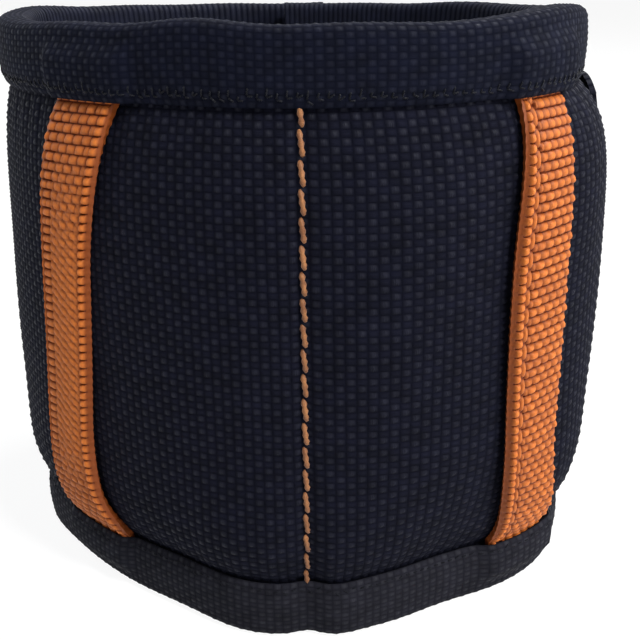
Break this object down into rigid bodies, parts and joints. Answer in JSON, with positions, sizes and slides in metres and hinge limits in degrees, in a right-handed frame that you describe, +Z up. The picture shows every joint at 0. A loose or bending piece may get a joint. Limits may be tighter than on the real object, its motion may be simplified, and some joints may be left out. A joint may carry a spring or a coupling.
{
  "type": "magnetic wristband",
  "caption": "Padded fabric wristband with magnets in sewn pockets, bound edges, two webbing strips and a hook-and-loop closing flap; holds small steel hardware at hand.",
  "frame": {"origin": "under the middle of the closed band's box, on the surface that its lower edge stands on", "axes": "+Z up along the axis of the ring, -Y out of the front with the centre seam, +X to the right as the front is seen"},
  "size_m": [0.1028, 0.0976, 0.09],
  "materials": {
    "shell": "heavy plain-woven nylon, dull sheen",
    "binding": "ribbed woven tape",
    "lining": "spacer mesh",
    "webbing": "woven polypropylene webbing",
    "foam": "closed-cell foam sheet",
    "magnet": "nickel plate",
    "hook": "moulded nylon hooks",
    "loop": "brushed loop pile"
  },
  "bodies": {
    "band": {"shell_front": "shell", "lining_front": "lining", "upper_binding_front": "binding", "lower_binding_front": "binding", "under_end_binding": "binding", "foam_left_side": "foam", "foam_front_left": "foam", "foam_front_right": "foam", "foam_right_side": "foam", "magnet_left_side_1": "magnet", "magnet_left_side_2": "magnet", "magnet_left_side_3": "magnet", "magnet_front_left_1": "magnet", "magnet_front_left_2": "magnet", "magnet_front_left_3": "magnet", "magnet_front_right_1": "magnet", "magnet_front_right_2": "magnet", "magnet_front_right_3": "magnet", "magnet_right_side_1": "magnet", "magnet_right_side_2": "magnet", "magnet_right_side_3": "magnet", "strip_left": "webbing", "strip_right": "webbing", "loop_tape": "loop"},
    "wing": {"shell_wing": "shell", "lining_wing": "lining", "upper_binding_wing": "binding", "lower_binding_wing": "binding", "wing_end_binding": "binding", "foam_wing": "foam"},
    "closing_flap": {"flap": "shell", "hook_tape": "hook"}
  },
  "joints": [
    {"name": "wing_open", "type": "hinge", "parent": "band", "child": "wing", "pos_m": [-0.04923, 0.00926, 0.045], "axis": [0, 0, 1], "range_deg": [0, 80]},
    {"name": "flap_peel", "type": "hinge", "parent": "wing", "child": "closing_flap", "pos_m": [0.00745, 0.0484, 0.045], "axis": [0, 0, 1], "range_deg": [0, 110]}
  ]
}
